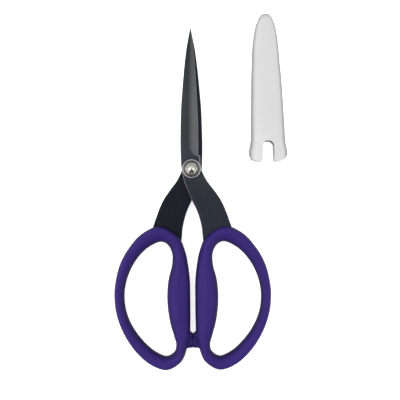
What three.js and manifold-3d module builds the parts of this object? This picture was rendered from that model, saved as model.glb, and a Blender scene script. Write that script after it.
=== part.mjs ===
// Craft scissors with a slip-on blade cover, in millimetres, +Z up.
// The origin lies on the pivot axis, in the flat face of the pivot screw's head. +Y runs to the blade tips.
// The scissors lie closed on the plane z = 0, and the cover lies beside them on the same plane.
// The two halves are one shape: the rear half is the front half turned over about the long axis.

import * as THREE from 'three';
import { mergeVertices } from 'three/addons/utils/BufferGeometryUtils.js';
import Module from 'manifold-3d';

const wasm = await Module();
wasm.setup();

// ---- Driving dimensions ----------------------------------------------------------------------------------

const GAP = 0.3;                        // clearance between neighbouring pieces
const MID_Z = 5.5;                      // height of the shear plane, the middle of the handles

// Blades. Each pair is a place along Y and the distance from the axis, on the front half.
const TIP_Y = 79.1;
const TANG_END_Y = -76;
const STOCK = 2.2;                      // thickness of the flat steel
const TIP_STOCK = 1.0;                  // thickness that it tapers to at the tip
const EDGE_THICKNESS = 0.3;
const GRIND_POWER = 1.5;                // above 1 the ground face is convex
const PLUNGE_AT_EDGE = [5.6, 8.6];      // along Y, where the ground face begins and has its full depth
const PLUNGE_AT_RIDGE = [10, 13.8];
const BLADE_ROWS = 46;
const TANG_ROWS = 30;
const SPINE_SIDE = [
  [TIP_Y, -0.12], [72.7, -1.38], [67.7, -2.3], [55.4, -3.82], [44.2, -4.82], [33, -5.66], [21.8, -6.02],
  [13.4, -6.14], [5, -5.95], [-0.6, -5.6], [-3.6, -4.95], [-7.7, -4], [-11.6, -2.4], [-17.4, -0.05],
  [-23, 2.6], [-28.6, 4.38], [-34.2, 5.5], [-38, 5.8], [-40, 6.0], [-42, 6.6], [-45.4, 6.5],
  [-51, 5.5], [-56.6, 5.2], [-66, 5.2], [TANG_END_Y, 5.6],
];
const EDGE_SIDE = [
  [TIP_Y, 0.12], [72.7, 1.15], [68, 1.68], [55.4, 2.55], [38.6, 3.34], [21.8, 3.83], [8.2, 3.83], [7, 4.85],
  [3, 5], [-0.6, 5.6], [-6.2, 8.18], [-11.8, 12.3], [-17.4, 16.1], [-23, 18.68], [-28.6, 20.7],
  [-34, 22.2], [-36.2, 21.6], [-37.6, 18.5], [-38.6, 14], [-40.6, 10.8], [-45.4, 9.1], [-51, 8.3],
  [-56.6, 8.9], [-66, 10], [TANG_END_Y, 9.4],
];
const RIDGE = [[TIP_Y, -0.04], [70, -0.5], [45, -1.6], [15, -1.7], [-2, 0], [-30, 13], [TANG_END_Y, 7.5]];

// Handle rings. Each rib crosses the right-hand ring from the finger hole to the outside:
// [hole x, hole y, outside x, outside y, half thickness], anticlockwise from the top.
const RIBS = [
  [17.5, -40.6, 17.6, -31.8, 4.8],
  [13.8, -42.3, 7.6, -38, 4.8],
  [11.45, -46.9, 4, -45.9, 5.1],
  [11.45, -53.2, 2.5, -53.2, 5.35],
  [13.6, -62.2, 1.5, -62.2, 5.5],
  [14.3, -73, 1.35, -73, 5.5],
  [13, -84.8, 1.4, -84.8, 5.4],
  [10.8, -93, 1.75, -93, 5.2],
  [9.5, -98, 3.3, -99.9, 5],
  [10.4, -101.9, 6.6, -107.6, 4.8],
  [14.6, -104.6, 14.7, -112.2, 4.7],
  [21, -102.1, 23.6, -109.3, 4.6],
  [27.5, -96.4, 32, -101.9, 4.6],
  [33.4, -88.5, 38.7, -91.7, 4.6],
  [37, -80, 42.6, -81.1, 4.6],
  [38.15, -71, 43.8, -70.8, 4.6],
  [37.25, -63.6, 43.1, -62.5, 4.6],
  [34.35, -55.5, 40.4, -52.5, 4.6],
  [29.75, -48.5, 35.6, -44, 4.6],
  [24.3, -43.5, 28, -35.8, 4.7],
];
const RING_CROWN = 0.3;                 // how far the ring's ridge leans to the outside
const RING_SQUARENESS = 0.86;           // 1 is an ellipse, less is squarer
const GRIP_WALL = 1.5;                  // thickness of the soft overmould
const GRIP_STATIONS = 50;
const GRIP_AROUND = 12;
const CORE_STATIONS = 36;
const CORE_AROUND = 8;

// Stop pads between the handles, on the right-hand ring.
const STOP_TOP_Y = -94;
const STOP_BOTTOM_Y = -98.3;
const STOP_FACE_X = 0.15;
const STOP_BACK_X = 2.4;
const STOP_HALF_HEIGHT = 2.9;
const STOP_PEG_RADIUS = 1.1;
const STOP_PEG_END_X = 3.9;
const BOSS_FACE_X = 0.35;
const BOSS_HALF_HEIGHT = 2.3;

// Pivot, stacked along Z.
const ROUND = 24;                       // sides of round pieces
const SHOULDER_RADIUS = 2.2;
const SHOULDER_FLAT = 1.8;              // half width across the flats that key the screw in the rear blade
const THREAD_RADIUS = 1.4;
const CAP_RADIUS = 1.8;                 // the peened end above the nut
const HEAD_RADIUS = 3.05;
const HEAD_FACE_RADIUS = 2.45;
const HEAD_HEIGHT = 1.95;
const SCREW_TOP_Z = 12.3;
const WASHER_RADIUS = 5.15;
const WASHER_FLOOR = 0.6;
const WASHER_RIM_HEIGHT = 1;
const BLADE_WASHER_RADIUS = 3.7;
const BLADE_WASHER_THICKNESS = 0.5;
const LOCK_WASHER_RADIUS = 3.45;
const LOCK_WASHER_THICKNESS = 0.5;
const LOCK_WASHER_SPLIT = 0.6;
const LOCK_WASHER_SPLIT_ANGLE = -0.52;
const NUT_FLAT_RADIUS = 2.75;           // half the width across flats
const NUT_HEIGHT = 1.5;
const NUT_TOP_SCALE = 0.72;             // the sides slope in over the upper half

const REAR_BLADE_Z = MID_Z - GAP / 2 - STOCK;
const FRONT_BLADE_Z = MID_Z + GAP / 2;
const FRONT_BLADE_TOP = FRONT_BLADE_Z + STOCK;
const REAR_WASHER_Z = REAR_BLADE_Z - GAP - WASHER_FLOOR;
const FRONT_WASHER_Z = FRONT_BLADE_TOP + GAP;
const LOCK_WASHER_Z = FRONT_WASHER_Z + WASHER_FLOOR + GAP;
const NUT_Z = LOCK_WASHER_Z + LOCK_WASHER_THICKNESS + GAP;
const RECESS_DEPTH = BLADE_WASHER_THICKNESS / 2 + GAP / 2;

// Blade cover: half widths and half thicknesses along Y. It lies flat, so its height is its half thickness.
const COVER_X = 42.85;
const COVER_NOSE_Y = 87.9;
const COVER_MOUTH_Y = 3.9;
const COVER_WALL = 1.1;
const COVER_ROWS = 22;
const COVER_AROUND = 16;
const COVER_WIDTH = [
  [COVER_NOSE_Y, 0.9], [86.7, 2.6], [83.4, 4.4], [80, 5.65], [73.3, 6.8], [66.6, 7.6], [53.1, 8.45],
  [39.7, 9.05], [26.3, 9.5], [16.2, 9.85], [12.8, 10.45], [9, 11.15], [7.4, 10.9], [6, 9.7],
  [COVER_MOUTH_Y, 8],
];
const COVER_DEPTH = [
  [COVER_NOSE_Y, 0.8], [86.7, 1.6], [83.4, 2.3], [76, 2.75], [53, 3.5], [26, 4.1], [12, 4.6], [8, 4.8],
  [COVER_MOUTH_Y, 4.6],
];
const COVER_SQUARENESS = 0.5;           // 1 is an ellipse, less is squarer
const COVER_LEFT_SQUARENESS = 0.8;      // the left shoulder is rounder
const NOTCH_TOP_Y = 15.3;
const NOTCH_HALF_WIDTH = 3.2;

// ---- Geometry helpers ------------------------------------------------------------------------------------

// A smooth function through [position, value] pairs, with no overshoot.
function through(pairs) {
  const p = [...pairs].sort((a, b) => a[0] - b[0]);
  const last = p.length - 1;
  const chord = (i) => (p[i + 1][1] - p[i][1]) / (p[i + 1][0] - p[i][0]);
  const slope = p.map((_, i) => {
    if (i === 0) return chord(0);
    if (i === last) return chord(last - 1);
    const before = chord(i - 1);
    const after = chord(i);
    return before * after <= 0 ? 0 : (2 * before * after) / (before + after);
  });
  return (s) => {
    const place = Math.min(Math.max(s, p[0][0]), p[last][0]);
    let i = 0;
    while (i < last - 1 && place > p[i + 1][0]) i += 1;
    const span = p[i + 1][0] - p[i][0];
    const t = (place - p[i][0]) / span;
    const rise = p[i + 1][1] - p[i][1];
    const bend = (1 - t) * (slope[i] * span - rise) - t * (slope[i + 1] * span - rise);
    return p[i][1] + t * rise + t * (1 - t) * bend;
  };
}

// Moves every vertex of a closed three.js geometry.
function remap(geometry, place) {
  const position = geometry.getAttribute('position');
  const at = new THREE.Vector3();
  for (let i = 0; i < position.count; i += 1) {
    at.fromBufferAttribute(position, i);
    place(at);
    position.setXYZ(i, at.x, at.y, at.z);
  }
  return geometry;
}

function solid(geometry) {
  const bare = geometry.clone();
  bare.deleteAttribute('normal');
  bare.deleteAttribute('uv');
  const welded = mergeVertices(bare, 1e-4);
  return new wasm.Manifold(new wasm.Mesh({
    numProp: 3,
    vertProperties: new Float32Array(welded.getAttribute('position').array),
    triVerts: new Uint32Array(welded.getIndex().array),
  }));
}

function geometryOf(manifold) {
  const mesh = manifold.getMesh();
  const geometry = new THREE.BufferGeometry();
  geometry.setAttribute('position', new THREE.BufferAttribute(new Float32Array(mesh.vertProperties), 3));
  geometry.setIndex(new THREE.BufferAttribute(new Uint32Array(mesh.triVerts), 1));
  geometry.computeVertexNormals();
  return geometry;
}

// A solid of revolution about Z from [radius, height] points that start and end on the axis or close.
function turned(points, sides = ROUND) {
  const lathe = new THREE.LatheGeometry(points.map(([r, z]) => new THREE.Vector2(r, z)), sides);
  return lathe.rotateX(Math.PI / 2);
}

function cylinder(radius, low, high, sides = ROUND) {
  const geometry = new THREE.CylinderGeometry(radius, radius, high - low, sides);
  return geometry.rotateX(Math.PI / 2).translate(0, 0, (low + high) / 2);
}

// A flat washer profile, closed on itself.
function ring(inner, outer, low, high) {
  return turned([[inner, low], [outer, low], [outer, high], [inner, high], [inner, low]]);
}

const power = (value, exponent) => Math.sign(value) * Math.abs(value) ** exponent;

// ---- Blades ----------------------------------------------------------------------------------------------

const spineX = through(SPINE_SIDE);
const edgeX = through(EDGE_SIDE);
const ridgeX = through(RIDGE);
const stockAt = through([[TIP_Y, TIP_STOCK], [45, 1.75], [16, STOCK], [TANG_END_Y, STOCK]]);

// Rows are closer together where the outline bends quickly: the choil and the tang's shoulder.
const rowY = through([[0, TANG_END_Y], [0.16, -46], [0.36, -33.5], [0.6, -1], [0.74, 9.5], [1, TIP_Y]]);

// Thickness of the steel. The ground face falls away from the ridge to the cutting edge.
function thicknessAt(x, y) {
  const stock = stockAt(y);
  const ridge = ridgeX(y);
  if (x <= ridge || y <= PLUNGE_AT_EDGE[0]) return stock;
  const down = THREE.MathUtils.clamp((x - ridge) / (edgeX(y) - ridge), 0, 1);
  const start = THREE.MathUtils.lerp(PLUNGE_AT_RIDGE[0], PLUNGE_AT_EDGE[0], down);
  const end = THREE.MathUtils.lerp(PLUNGE_AT_RIDGE[1], PLUNGE_AT_EDGE[1], down);
  const plunge = THREE.MathUtils.smoothstep(y, start, end);
  return stock - plunge * (stock - EDGE_THICKNESS) * down ** GRIND_POWER;
}

function bladeGeometry() {
  const across = 4;
  const box = new THREE.BoxGeometry(1, 1, 1, across, BLADE_ROWS, 1);
  return remap(box, (at) => {
    const y = rowY(at.y + 0.5);
    const column = Math.round((at.x + 0.5) * across);
    const spine = spineX(y);
    const edge = edgeX(y);
    const width = edge - spine;
    const ridge = THREE.MathUtils.clamp(ridgeX(y), spine + 0.15 * width, edge - 0.3 * width);
    const columns = [spine, ridge, ridge + (edge - ridge) / 3, ridge + (edge - ridge) * 0.68, edge];
    const x = columns[column];
    at.set(x, y, at.z < 0 ? FRONT_BLADE_Z : FRONT_BLADE_Z + thicknessAt(x, y));
  });
}

// The space that the steel needs inside the handle, with clearance all round.
function tangSlot() {
  const box = new THREE.BoxGeometry(1, 1, 1, 1, TANG_ROWS, 1);
  const low = TANG_END_Y - GAP;
  const high = -22;
  return solid(remap(box, (at) => {
    const y = low + (at.y + 0.5) * (high - low);
    const left = Math.min(spineX(y), spineX(y + GAP)) - GAP;
    const right = Math.max(edgeX(y), edgeX(y + GAP)) + GAP;
    at.set(at.x < 0 ? left : right, y, at.z < 0 ? FRONT_BLADE_Z - GAP : FRONT_BLADE_TOP + GAP);
  }));
}

function pivotRecess() {
  const depth = FRONT_BLADE_Z + RECESS_DEPTH;
  return solid(cylinder(BLADE_WASHER_RADIUS + GAP, FRONT_BLADE_Z - 1, depth));
}

function frontBladeGeometry() {
  const hole = solid(cylinder(SHOULDER_RADIUS + GAP, FRONT_BLADE_Z - 1, FRONT_BLADE_TOP + 1));
  return geometryOf(solid(bladeGeometry()).subtract(pivotRecess()).subtract(hole));
}

// The rear blade's hole has two flats, so that the screw can't turn in it.
function keyed(radius, flat, low, high) {
  const round = solid(cylinder(radius, low, high));
  const slab = new THREE.BoxGeometry(4 * radius, 2 * flat, high - low + 2);
  return round.intersect(solid(slab.translate(0, 0, (low + high) / 2)));
}

function rearBladeGeometry() {
  const hole = keyed(SHOULDER_RADIUS + GAP, SHOULDER_FLAT + GAP, FRONT_BLADE_Z - 1, FRONT_BLADE_TOP + 1);
  return geometryOf(solid(bladeGeometry()).subtract(pivotRecess()).subtract(hole));
}

// ---- Handles ---------------------------------------------------------------------------------------------

const closedCurve = (points) => new THREE.CatmullRomCurve3(points, true, 'centripetal');
const holeLine = closedCurve(RIBS.map(([x, y]) => new THREE.Vector3(x, y, 0)));
const outsideLine = closedCurve(RIBS.map(([, , x, y]) => new THREE.Vector3(x, y, 0)));

// Half thickness at a fraction of the way round, straight between ribs.
function halfHeightAt(turn) {
  const place = (turn % 1) * RIBS.length;
  const before = Math.floor(place) % RIBS.length;
  const after = (before + 1) % RIBS.length;
  return THREE.MathUtils.lerp(RIBS[before][4], RIBS[after][4], place - Math.floor(place));
}

// The closed ring of a handle, shrunk by inset all round.
function handleRing(inset, stations, around) {
  const torus = new THREE.TorusGeometry(2, 1, around, stations);
  return remap(torus, (at) => {
    const turn = (Math.atan2(at.y, at.x) / (2 * Math.PI) + 1) % 1;
    const out = Math.hypot(at.x, at.y) - 2;
    const hole = holeLine.getPoint(turn);
    const outside = outsideLine.getPoint(turn);
    const width = hole.distanceTo(outside);
    const side = power(out, RING_SQUARENESS);
    const up = power(at.z, RING_SQUARENESS);
    const lean = RING_CROWN * (1 - side * side) * Math.abs(up) * 0.5;
    const across = 0.5 + (side + lean) * (0.5 - inset / width);
    const spot = hole.lerp(outside, across);
    at.set(spot.x, spot.y, MID_Z + up * (halfHeightAt(turn) - inset));
  });
}

// The lug on the gap side that carries the stop pad.
function stopBoss() {
  const outline = new THREE.Shape();
  outline.moveTo(5.2, -89.4);
  outline.lineTo(1.6, -90.6);
  outline.quadraticCurveTo(1.4, -92.3, BOSS_FACE_X, -92.5);
  outline.lineTo(BOSS_FACE_X, -99.9);
  outline.lineTo(2.4, -99.9);
  outline.quadraticCurveTo(3.6, -99.9, 4.3, -102.4);
  outline.lineTo(5.6, -102.6);
  const geometry = new THREE.ExtrudeGeometry(outline, {
    depth: 2 * BOSS_HALF_HEIGHT, bevelEnabled: false, curveSegments: 4,
  });
  return solid(geometry.translate(0, 0, MID_Z - BOSS_HALF_HEIGHT));
}

// A stop pad: a rounded bar with a peg behind it. grow makes the pocket that takes it.
function stopPad(grow) {
  const face = STOP_FACE_X - grow;
  const back = STOP_BACK_X + grow;
  const top = STOP_TOP_Y + grow;
  const bottom = STOP_BOTTOM_Y - grow;
  const round = 0.7;
  const outline = new THREE.Shape();
  outline.moveTo(face, bottom + round);
  outline.quadraticCurveTo(face, bottom, face + round, bottom);
  outline.lineTo(back, bottom);
  outline.lineTo(back, top);
  outline.lineTo(face + round, top);
  outline.quadraticCurveTo(face, top, face, top - round);
  const half = STOP_HALF_HEIGHT + grow;
  const bar = new THREE.ExtrudeGeometry(outline, { depth: 2 * half, bevelEnabled: false, curveSegments: 4 });
  const pegLength = STOP_PEG_END_X + grow - back + 0.5;
  const peg = new THREE.CylinderGeometry(STOP_PEG_RADIUS + grow, STOP_PEG_RADIUS + grow, pegLength, 16);
  peg.rotateZ(Math.PI / 2).translate(back - 0.5 + pegLength / 2, (top + bottom) / 2, MID_Z);
  return solid(bar.translate(0, 0, MID_Z - half)).add(solid(peg));
}

function gripGeometry() {
  const cavity = solid(handleRing(GRIP_WALL, CORE_STATIONS, CORE_AROUND));
  const skin = solid(handleRing(0, GRIP_STATIONS, GRIP_AROUND)).add(stopBoss());
  return geometryOf(skin.subtract(cavity).subtract(tangSlot()).subtract(stopPad(GAP)));
}

function coreGeometry() {
  const body = solid(handleRing(GRIP_WALL + GAP, CORE_STATIONS, CORE_AROUND));
  return geometryOf(body.subtract(tangSlot()));
}

// ---- Pivot -----------------------------------------------------------------------------------------------

function screwGeometry() {
  const head = solid(turned([
    [0, 0], [HEAD_FACE_RADIUS, 0], [HEAD_RADIUS - 0.15, 0.5], [HEAD_RADIUS, 1.1],
    [HEAD_RADIUS, HEAD_HEIGHT], [0, HEAD_HEIGHT],
  ]));
  const key = keyed(SHOULDER_RADIUS, SHOULDER_FLAT, HEAD_HEIGHT - 0.2, MID_Z);
  const capStart = NUT_Z + NUT_HEIGHT + GAP;
  const capHeight = SCREW_TOP_Z - capStart;
  const stem = solid(turned([
    [0, MID_Z - 0.2], [SHOULDER_RADIUS, MID_Z - 0.2], [SHOULDER_RADIUS, FRONT_BLADE_TOP],
    [THREAD_RADIUS, FRONT_BLADE_TOP], [THREAD_RADIUS, capStart], [CAP_RADIUS, capStart],
    [CAP_RADIUS * 0.93, capStart + capHeight * 0.4], [CAP_RADIUS * 0.72, capStart + capHeight * 0.72],
    [CAP_RADIUS * 0.4, capStart + capHeight * 0.93], [0, SCREW_TOP_Z],
  ]));
  return geometryOf(head.add(key).add(stem));
}

function dishedWasherGeometry() {
  const z = FRONT_WASHER_Z;
  const bore = THREAD_RADIUS + GAP;
  const top = z + WASHER_RIM_HEIGHT;
  return turned([
    [bore, z], [WASHER_RADIUS - 0.15, z], [WASHER_RADIUS, z + 0.2], [WASHER_RADIUS, top - 0.2],
    [WASHER_RADIUS - 0.25, top], [WASHER_RADIUS - 0.6, top], [WASHER_RADIUS - 1.15, z + WASHER_FLOOR],
    [bore, z + WASHER_FLOOR], [bore, z],
  ]);
}

function lockWasherGeometry() {
  const low = LOCK_WASHER_Z;
  const high = low + LOCK_WASHER_THICKNESS;
  const whole = solid(ring(THREAD_RADIUS + GAP, LOCK_WASHER_RADIUS, low, high));
  const split = new THREE.BoxGeometry(LOCK_WASHER_RADIUS * 2, LOCK_WASHER_SPLIT, 2);
  split.translate(LOCK_WASHER_RADIUS, 0, (low + high) / 2).rotateZ(LOCK_WASHER_SPLIT_ANGLE);
  return geometryOf(whole.subtract(solid(split)));
}

// A hexagon nut with two corners on the X axis. Its six sides slope in over the upper half.
function nutGeometry() {
  const corner = NUT_FLAT_RADIUS / Math.cos(Math.PI / 6);
  const top = NUT_Z + NUT_HEIGHT;
  const hexagon = turned([
    [0, NUT_Z], [0.94 * corner, NUT_Z], [corner, NUT_Z + 0.2], [corner, NUT_Z + 0.6 * NUT_HEIGHT],
    [NUT_TOP_SCALE * corner, top], [0, top],
  ], 6);
  const bore = solid(cylinder(THREAD_RADIUS + GAP, NUT_Z - 1, top + 1));
  return geometryOf(solid(hexagon.rotateZ(Math.PI / 6)).subtract(bore));
}

// ---- Blade cover -----------------------------------------------------------------------------------------

const coverWidth = through(COVER_WIDTH);
const coverDepth = through(COVER_DEPTH);
const coverRow = through([[0, COVER_MOUTH_Y], [0.3, 14], [0.75, 70], [1, COVER_NOSE_Y]]);

// A flattened tapering tube along Y, shrunk by inset and run past the mouth by spare.
function coverTube(inset, spare) {
  const tube = new THREE.CylinderGeometry(1, 1, 1, COVER_AROUND, COVER_ROWS);
  return solid(remap(tube, (at) => {
    const up = THREE.MathUtils.clamp(at.y + 0.5, 0, 1);
    const y = coverRow(up);
    const reach = Math.hypot(at.x, at.z);
    const middle = reach < 0.5 ? 0 : 1;
    const along = up === 0 ? y - spare : Math.min(y, COVER_NOSE_Y - inset);
    const half = Math.max(coverWidth(y) - inset, 0.4);
    const deep = Math.max(coverDepth(y) - inset, 0.3);
    const squareness = at.x < 0 ? COVER_LEFT_SQUARENESS : COVER_SQUARENESS;
    const x = COVER_X + middle * half * power(at.x, squareness);
    const z = coverDepth(y) + middle * deep * power(at.z, COVER_SQUARENESS);
    at.set(x, along, z);
  }));
}

function coverGeometry() {
  const notch = new THREE.Shape();
  const low = COVER_MOUTH_Y - 2;
  const round = 1.6;
  notch.moveTo(-NOTCH_HALF_WIDTH, low);
  notch.lineTo(NOTCH_HALF_WIDTH, low);
  notch.lineTo(NOTCH_HALF_WIDTH, NOTCH_TOP_Y - round);
  notch.quadraticCurveTo(NOTCH_HALF_WIDTH, NOTCH_TOP_Y, NOTCH_HALF_WIDTH - round, NOTCH_TOP_Y);
  notch.lineTo(round - NOTCH_HALF_WIDTH, NOTCH_TOP_Y);
  notch.quadraticCurveTo(-NOTCH_HALF_WIDTH, NOTCH_TOP_Y, -NOTCH_HALF_WIDTH, NOTCH_TOP_Y - round);
  const cut = new THREE.ExtrudeGeometry(notch, { depth: 30, bevelEnabled: false, curveSegments: 4 });
  cut.translate(COVER_X, 0, -10);
  return geometryOf(coverTube(0, 0).subtract(coverTube(COVER_WALL, 3)).subtract(solid(cut)));
}

// ---- The object ------------------------------------------------------------------------------------------

const steel = new THREE.MeshStandardMaterial({ color: 0x2b2f35, roughness: 0.38, metalness: 0.9 });
const bright = new THREE.MeshStandardMaterial({ color: 0xc9cac6, roughness: 0.16, metalness: 1 });
const washerPlastic = new THREE.MeshStandardMaterial({ color: 0x1c1c1e, roughness: 0.5, metalness: 0 });
const corePlastic = new THREE.MeshStandardMaterial({ color: 0x2a1a52, roughness: 0.45, metalness: 0 });
const softPurple = new THREE.MeshStandardMaterial({ color: 0x453078, roughness: 0.72, metalness: 0 });
const padPurple = new THREE.MeshStandardMaterial({ color: 0x3c2a74, roughness: 0.6, metalness: 0 });
const coverPlastic = new THREE.MeshStandardMaterial({ color: 0xdcdcdb, roughness: 0.35, metalness: 0 });

function piece(name, geometry, material) {
  const mesh = new THREE.Mesh(geometry, material);
  mesh.name = name;
  return mesh;
}

// One handle with its core, overmould and stop pad.
function handle(side) {
  return [
    piece(`${side}_handle_core`, coreGeometry(), corePlastic),
    piece(`${side}_handle_grip`, gripGeometry(), softPurple),
    piece(`${side}_stop_pad`, geometryOf(stopPad(0)), padPurple),
  ];
}

const frontHalf = new THREE.Group();
frontHalf.add(piece('front_blade', frontBladeGeometry(), steel), ...handle('right'));

// The rear half is turned over about the long axis at the height of the shear plane.
const rearHalf = new THREE.Group();
rearHalf.rotation.y = Math.PI;
rearHalf.position.z = 2 * MID_Z;
rearHalf.add(piece('rear_blade', rearBladeGeometry(), steel), ...handle('left'));

const bladeWasher = ring(
  SHOULDER_RADIUS + GAP, BLADE_WASHER_RADIUS,
  MID_Z - BLADE_WASHER_THICKNESS / 2, MID_Z + BLADE_WASHER_THICKNESS / 2,
);
const rearWasher = ring(
  SHOULDER_RADIUS + GAP, WASHER_RADIUS - 0.25, REAR_WASHER_Z, REAR_WASHER_Z + WASHER_FLOOR,
);

const pivot = new THREE.Group();
pivot.add(
  piece('pivot_screw', screwGeometry(), bright),
  piece('rear_washer', rearWasher, bright),
  piece('blade_washer', bladeWasher, washerPlastic),
  piece('front_washer', dishedWasherGeometry(), bright),
  piece('lock_washer', lockWasherGeometry(), bright),
  piece('pivot_nut', nutGeometry(), bright),
);

const scissors = new THREE.Group();
scissors.add(frontHalf, rearHalf, pivot, piece('blade_cover', coverGeometry(), coverPlastic));

export default scissors;
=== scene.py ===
# The looks of the craft scissors and their blade cover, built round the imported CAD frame.
# Shapes are worked out in millimetres in the frame's axes: +Y to the blade tips, +Z up, origin on the pivot.
# Like the CAD, the rear half is the front half turned over about the long axis.
# A finer piece stands in for every CAD node but three, which are hidden inside and only get a material.

import math

import bmesh
import bpy
import numpy as np
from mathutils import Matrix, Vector


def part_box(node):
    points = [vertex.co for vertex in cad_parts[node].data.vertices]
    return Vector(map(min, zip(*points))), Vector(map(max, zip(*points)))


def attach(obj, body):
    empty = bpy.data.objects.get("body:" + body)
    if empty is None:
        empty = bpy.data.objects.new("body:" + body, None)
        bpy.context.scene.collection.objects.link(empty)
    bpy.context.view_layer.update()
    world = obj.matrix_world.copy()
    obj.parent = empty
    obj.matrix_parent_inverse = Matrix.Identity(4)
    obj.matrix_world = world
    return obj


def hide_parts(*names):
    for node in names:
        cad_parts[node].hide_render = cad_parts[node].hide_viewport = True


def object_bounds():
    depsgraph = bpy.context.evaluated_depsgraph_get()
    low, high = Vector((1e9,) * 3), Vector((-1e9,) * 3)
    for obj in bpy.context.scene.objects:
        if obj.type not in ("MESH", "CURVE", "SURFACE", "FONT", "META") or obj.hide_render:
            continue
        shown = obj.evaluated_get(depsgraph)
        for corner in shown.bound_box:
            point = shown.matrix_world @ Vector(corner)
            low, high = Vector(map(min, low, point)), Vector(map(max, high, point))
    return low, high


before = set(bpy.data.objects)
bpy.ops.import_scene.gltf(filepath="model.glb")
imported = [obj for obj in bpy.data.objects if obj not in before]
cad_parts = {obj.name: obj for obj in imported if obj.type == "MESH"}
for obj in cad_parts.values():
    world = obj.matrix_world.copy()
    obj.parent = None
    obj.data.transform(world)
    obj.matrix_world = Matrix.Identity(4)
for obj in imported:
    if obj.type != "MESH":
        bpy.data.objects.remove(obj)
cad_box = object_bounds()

MM = 0.001

# ---- Dimensions ------------------------------------------------------------------------------------------
# They are the CAD's, but for the cover's outline, the inner faces of the boss and pads, the nut's top and
# small edge details.

MID_Z = 5.5                             # the shear plane, where the two halves meet
GAP = 0.3                               # between the blades
TIP_Y = 79.1
TANG_END_Y = -76
STOCK = 2.2
TIP_STOCK = 1.0
SPINE_BEVEL = 0.3
EDGE_THICKNESS = 0.3
HONED_WIDTH = 0.3
HONED_SHARE = 0.22                      # of the blade's width, at most
GRIND_POWER = 1.5                       # hollows the ground face
SPINE_DROP = 0.2                        # how far the outer face falls away towards the spine
# Outlines of the front half's steel, as (y, x) pairs.
SPINE_SIDE = [
    (TIP_Y, -0.12), (72.7, -1.38), (67.7, -2.3), (55.4, -3.82), (44.2, -4.82), (33, -5.66), (21.8, -6.02),
    (13.4, -6.14), (5, -5.95), (-0.6, -5.6), (-3.6, -4.95), (-7.7, -4), (-11.6, -2.4), (-17.4, -0.05),
    (-23, 2.6), (-28.6, 4.38), (-34.2, 5.5), (-38, 5.8), (-40, 6.0), (-42, 6.6), (-45.4, 6.5),
    (-51, 5.5), (-56.6, 5.2), (-66, 5.2), (TANG_END_Y, 5.6),
]
EDGE_SIDE = [
    (TIP_Y, 0.12), (72.7, 1.15), (68, 1.68), (55.4, 2.55), (38.6, 3.34), (21.8, 3.83), (8.2, 3.83), (7, 4.85),
    (3, 5), (-0.6, 5.6), (-6.2, 8.18), (-11.8, 12.3), (-17.4, 16.1), (-23, 18.68), (-28.6, 20.7),
    (-34, 22.2), (-36.2, 21.6), (-37.6, 18.5), (-38.6, 14), (-40.6, 10.8), (-45.4, 9.1), (-51, 8.3),
    (-56.6, 8.9), (-66, 10), (TANG_END_Y, 9.4),
]
# Where the flat of the blade ends and the ground face begins, as (y, x) pairs.
RIDGE = [(TIP_Y, -0.04), (70, -0.5), (45, -1.6), (15, -1.7), (-2, 0), (-30, 13), (TANG_END_Y, 7.5)]

# Ribs across the right-hand ring, anticlockwise from the top:
# hole x, hole y, outside x, outside y, half thickness, lean of the crown to the outside.
RIBS = [
    (17.5, -40.6, 17.6, -31.8, 4.8, 0.12),
    (13.8, -42.3, 7.6, -38, 4.8, 0.1),
    (11.45, -46.9, 4, -45.9, 5.1, 0),
    (11.45, -53.2, 2.5, -53.2, 5.35, -0.04),
    (13.6, -62.2, 1.5, -62.2, 5.5, -0.04),
    (14.3, -73, 1.35, -73, 5.5, -0.04),
    (13, -84.8, 1.4, -84.8, 5.4, -0.04),
    (10.8, -93, 1.75, -93, 5.2, 0),
    (9.5, -98, 3.3, -99.9, 5, 0),
    (10.4, -101.9, 6.6, -107.6, 4.8, 0.1),
    (14.6, -104.6, 14.7, -112.2, 4.7, 0.1),
    (21, -102.1, 23.6, -109.3, 4.6, 0.12),
    (27.5, -96.4, 32, -101.9, 4.6, 0.12),
    (33.4, -88.5, 38.7, -91.7, 4.6, 0.12),
    (37, -80, 42.6, -81.1, 4.6, 0.12),
    (38.15, -71, 43.8, -70.8, 4.6, 0.12),
    (37.25, -63.6, 43.1, -62.5, 4.6, 0.12),
    (34.35, -55.5, 40.4, -52.5, 4.6, 0.12),
    (29.75, -48.5, 35.6, -44, 4.6, 0.12),
    (24.3, -43.5, 28, -35.8, 4.7, 0.12),
]
BOSS_FACE_X = 0.005
BOSS_TOP_Y = -90.4                      # where the gap's round end begins
BOSS_ROUND = 1.7
BOSS_FOOT_Y = -99.5
BOSS_FOOT_ROUND = 0.35
STOP_TOP_Y = -94
STOP_BOTTOM_Y = -98.3
STOP_FACE_X = 0.005
STOP_BACK_X = 2.4
STOP_HALF_HEIGHT = 2.9

FRONT_BLADE_Z = MID_Z + GAP / 2
FRONT_BLADE_TOP = FRONT_BLADE_Z + STOCK
RECESS_RADIUS = 4.0
RECESS_DEPTH = GAP / 2 + 0.4            # from the shear plane into each blade, for the slip washer
SHOULDER_RADIUS = 2.2
HEAD_RADIUS = 3.05
HEAD_TOP = 1.95
THREAD_RADIUS = 1.4
THREAD_DEPTH = 0.2
THREAD_PITCH = 0.5
CAP_RADIUS = 1.8
CAP_CLEARANCE = 0.2                     # between the nut's top and the peened cap
NUT_FLAT_RADIUS = 2.75
NUT_TOP_SCALE = 0.78
LOCK_WASHER_SPLIT_ANGLE = -0.52         # radians from +X, where the ring's two ends meet
LOCK_WASHER_HALF_GAP = math.radians(6)

COVER_X = 42.85
COVER_NOSE_Y = 87.9
COVER_MOUTH_Y = 3.9
COVER_WALL = 1.1
CAVITY_OVERRUN = 4                      # how far the cavity's tool goes on below the mouth
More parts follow.
